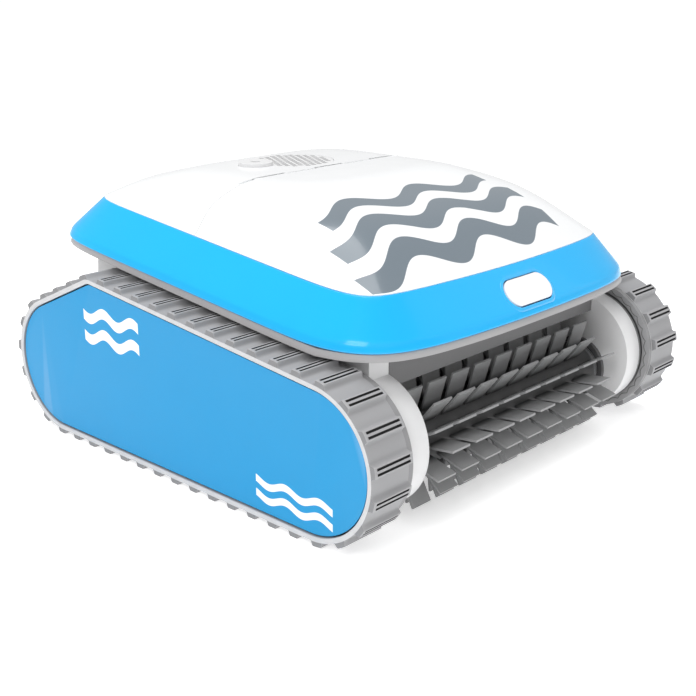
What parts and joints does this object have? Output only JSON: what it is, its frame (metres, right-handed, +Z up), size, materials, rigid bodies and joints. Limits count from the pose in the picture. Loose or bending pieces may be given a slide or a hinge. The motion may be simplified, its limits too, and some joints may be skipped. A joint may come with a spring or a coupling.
{
  "type": "robotic pool cleaner",
  "caption": "Tracked pool-cleaning robot with a hinged filter door, round top outlet, front bladed scrubbing brush and rubber crawler belts.",
  "frame": {"origin": "centre of the bounding box on the floor, under the lugs' tips", "axes": "+Z up, -Y the front with the brush, +X the machine's left-to-right axis"},
  "size_m": [0.383, 0.3973, 0.2126],
  "materials": {
    "blue_gloss": "glossy",
    "blue_satin": "satin gloss",
    "white_gloss": "glossy",
    "light_grey": "fine satin texture",
    "mid_grey": "matt",
    "dark_grey": "matt",
    "belt_rubber": "matt moulded rubber",
    "blade_rubber": "matt soft rubber",
    "steel": "bright",
    "foam": "closed-cell foam",
    "mesh": "fine woven mesh",
    "board": "solder mask",
    "motor_metal": "turned",
    "seal": "matt"
  },
  "bodies": {
    "chassis": {"top_frame": "blue_gloss", "rear_cover": "white_gloss", "hull_rim": "light_grey", "hinge_pin": "steel", "hull_tub": "mid_grey", "bottom_plate": "mid_grey", "bottom_screws": "steel", "brush_shroud": "mid_grey", "side_frame_left": "light_grey", "side_frame_right": "light_grey", "gearbox_cover_left": "mid_grey", "gearbox_cover_right": "mid_grey", "side_cover_left": "blue_satin", "side_cover_right": "blue_satin", "track_belt_left": "belt_rubber", "track_belt_right": "belt_rubber", "belt_rail_left": "mid_grey", "belt_rail_right": "mid_grey", "front_axle_left": "steel", "front_axle_right": "steel", "idler_axle_left": "steel", "idler_axle_right": "steel", "drive_motor_left": "motor_metal", "drive_motor_right": "motor_metal", "cover_screws": "steel", "brush_hub_left": "mid_grey", "brush_hub_right": "mid_grey", "outlet_grille": "mid_grey", "outlet_duct": "mid_grey", "cable_gland": "light_grey", "motor_housing": "dark_grey", "motor_cap": "dark_grey", "shaft_seal": "seal", "pump_motor": "motor_metal", "circuit_board": "board", "filter_basket": "mid_grey", "filter_mesh": "mesh", "foam_float_left": "foam", "foam_float_right": "foam", "latch_keeper": "mid_grey", "latch_spring": "steel"},
    "front_door": {"front_door": "white_gloss"},
    "latch_button": {"latch_button": "white_gloss"},
    "propeller": {"propeller": "dark_grey", "pump_shaft": "steel"},
    "brush": {"brush_blades": "blade_rubber", "brush_core": "dark_grey", "brush_cap_left": "mid_grey", "brush_cap_right": "mid_grey"},
    "front_wheel_left": {"front_wheel_left": "mid_grey"},
    "rear_wheel_left": {"rear_wheel_left": "mid_grey", "drive_shaft_left": "steel"},
    "idler_roller_left": {"idler_roller_left": "mid_grey"},
    "inlet_flap_left": {"inlet_flap_left": "dark_grey"},
    "front_wheel_right": {"front_wheel_right": "mid_grey"},
    "rear_wheel_right": {"rear_wheel_right": "mid_grey", "drive_shaft_right": "steel"},
    "idler_roller_right": {"idler_roller_right": "mid_grey"},
    "inlet_flap_right": {"inlet_flap_right": "dark_grey"}
  },
  "joints": [
    {"name": "door_hinge", "type": "hinge", "parent": "chassis", "child": "front_door", "pos_m": [0, 0.022, 0.2062], "axis": [-1, 0, 0], "range_deg": [0, 80]},
    {"name": "latch_button_press", "type": "slide", "parent": "chassis", "child": "latch_button", "axis": [0, 0.7373, -0.6756], "range_m": [0, 0.003], "stiffness_N_per_m": 800, "springref_m": -0.001, "deforming": ["latch_spring"]},
    {"name": "propeller_spin", "type": "hinge", "parent": "chassis", "child": "propeller", "pos_m": [0, 0.0647, 0.16], "axis": [0, 0, 1], "continuous": true},
    {"name": "rear_wheel_left_spin", "type": "hinge", "parent": "chassis", "child": "rear_wheel_left", "pos_m": [-0.17, 0.1403, 0.0585], "axis": [1, 0, 0], "continuous": true},
    {"name": "front_wheel_left_spin", "type": "hinge", "parent": "chassis", "child": "front_wheel_left", "pos_m": [-0.17, -0.1403, 0.0585], "axis": [1, 0, 0], "continuous": true},
    {"name": "idler_left_spin", "type": "hinge", "parent": "chassis", "child": "idler_roller_left", "pos_m": [-0.17, 0.0914, 0.1235], "axis": [1, 0, 0], "continuous": true},
    {"name": "inlet_flap_left_hinge", "type": "hinge", "parent": "chassis", "child": "inlet_flap_left", "pos_m": [-0.05, -0.013, 0.0519], "axis": [-1, 0, 0], "range_deg": [0, 60]},
    {"name": "rear_wheel_right_spin", "type": "hinge", "parent": "chassis", "child": "rear_wheel_right", "pos_m": [0.17, 0.1403, 0.0585], "axis": [1, 0, 0], "continuous": true},
    {"name": "front_wheel_right_spin", "type": "hinge", "parent": "chassis", "child": "front_wheel_right", "pos_m": [0.17, -0.1403, 0.0585], "axis": [1, 0, 0], "continuous": true},
    {"name": "idler_right_spin", "type": "hinge", "parent": "chassis", "child": "idler_roller_right", "pos_m": [0.17, 0.0914, 0.1235], "axis": [1, 0, 0], "continuous": true},
    {"name": "inlet_flap_right_hinge", "type": "hinge", "parent": "chassis", "child": "inlet_flap_right", "pos_m": [0.05, -0.013, 0.0519], "axis": [-1, 0, 0], "range_deg": [0, 60]},
    {"name": "brush_spin", "type": "hinge", "parent": "chassis", "child": "brush", "pos_m": [0, -0.1433, 0.046], "axis": [1, 0, 0], "continuous": true}
  ],
  "couplings": [
    {"joint": "front_wheel_left_spin", "follows": "rear_wheel_left_spin", "ratio": 1},
    {"joint": "idler_left_spin", "follows": "rear_wheel_left_spin", "ratio": 4.4522},
    {"joint": "front_wheel_right_spin", "follows": "rear_wheel_right_spin", "ratio": 1},
    {"joint": "idler_right_spin", "follows": "rear_wheel_right_spin", "ratio": 4.4522},
    {"joint": "brush_spin", "follows": "rear_wheel_left_spin", "ratio": 2}
  ]
}
